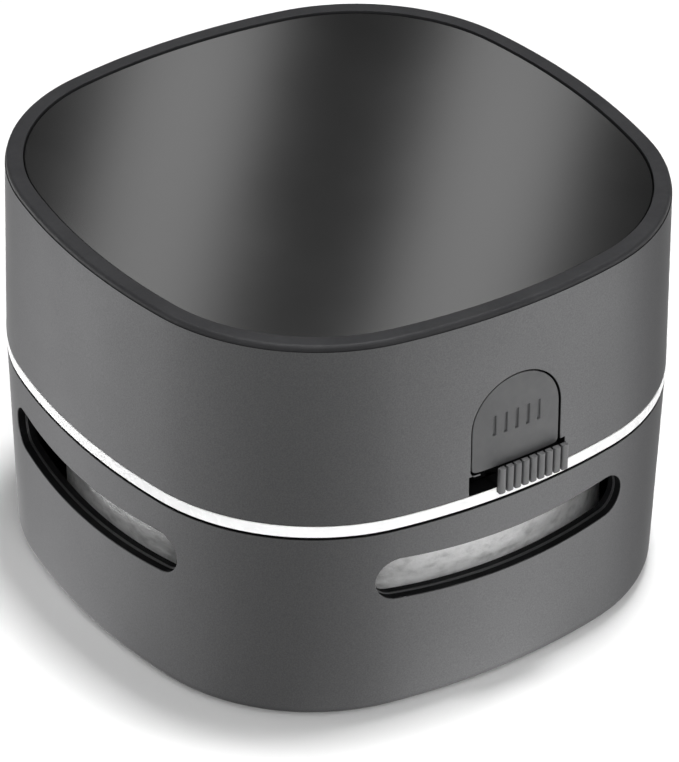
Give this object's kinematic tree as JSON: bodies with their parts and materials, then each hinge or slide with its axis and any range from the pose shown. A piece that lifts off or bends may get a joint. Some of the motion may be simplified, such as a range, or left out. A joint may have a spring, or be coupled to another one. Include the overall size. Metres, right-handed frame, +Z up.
{
  "type": "desktop mini vacuum cleaner",
  "caption": "Palm-size desk vacuum in a rounded square body with a lift-off upper unit, sprung release tab, slide switch, side vents and a suction mouth underneath.",
  "frame": {"origin": "centre of the base, at desk level", "axes": "+Z up, release tab and slide switch on the -Y face"},
  "size_m": [0.0848, 0.0859, 0.0612],
  "materials": {
    "grey_shell": "satin metallic lacquer on moulded ABS",
    "grey_tab": "satin",
    "grey_knob": "satin, ribbed",
    "white_trim": "gloss",
    "rim_plastic": "matte",
    "top_metal": "fine satin, dark anodised",
    "foam_tape": "matte",
    "black_plastic": "matte, moulded",
    "white_plastic": "matte, moulded",
    "screw_steel": "zinc plated",
    "rubber": "matte",
    "bristle": "nylon hair",
    "felt": "needled felt",
    "cell_jacket": "printed sleeve, left plain",
    "contact_steel": "nickel plated",
    "motor_steel": "zinc plated",
    "magnet": "sintered ferrite",
    "armature_iron": "laminations with enamelled windings",
    "copper": "polished copper",
    "board": "bare phenolic board",
    "wire_jacket": "soft sleeve"
  },
  "bodies": {
    "base": {"lower_shell": "grey_shell", "trim_ring": "white_trim", "base_plate": "black_plastic", "base_screws": "screw_steel", "glide_feet": "rubber", "brush_ring": "black_plastic", "bristles": "bristle", "dust_cup": "black_plastic", "filter_frame": "black_plastic", "filter_felt": "felt", "rim_seal": "rubber"},
    "head": {"upper_shell": "grey_shell", "top_bezel": "rim_plastic", "plate_tape": "foam_tape", "top_plate": "top_metal", "motor_deck": "black_plastic", "motor_cup": "black_plastic", "deck_screws": "screw_steel", "battery_covers": "black_plastic", "cover_screws": "screw_steel", "battery_cells": "cell_jacket", "contact_plates": "contact_steel", "contact_springs": "contact_steel", "motor_can": "motor_steel", "motor_magnets": "magnet", "motor_end_bell": "white_plastic", "motor_terminals": "contact_steel", "motor_clamp": "contact_steel", "clamp_screws": "screw_steel", "switch_board": "board", "switch_body": "contact_steel", "lead_wires": "wire_jacket", "latch_spring": "contact_steel"},
    "rotor": {"motor_shaft": "contact_steel", "armature": "armature_iron", "commutator": "copper", "impeller": "white_plastic"},
    "switch": {"switch_knob": "grey_knob", "switch_stem": "black_plastic"},
    "release": {"push_tab": "grey_tab", "latch_slider": "black_plastic"}
  },
  "joints": [
    {"name": "head_lift", "type": "slide", "parent": "base", "child": "head", "axis": [0, 0, 1], "range_m": [0, 0.04]},
    {"name": "rotor_spin", "type": "hinge", "parent": "head", "child": "rotor", "pos_m": [0, 0, 0.022], "axis": [0, 0, 1], "continuous": true},
    {"name": "switch_slide", "type": "slide", "parent": "head", "child": "switch", "axis": [-1, 0, 0], "range_m": [0, 0.004]},
    {"name": "release_press", "type": "slide", "parent": "head", "child": "release", "axis": [0, 1, 0], "range_m": [0, 0.0015], "stiffness_N_per_m": 400, "springref_m": -0.001, "deforming": ["latch_spring"]}
  ]
}
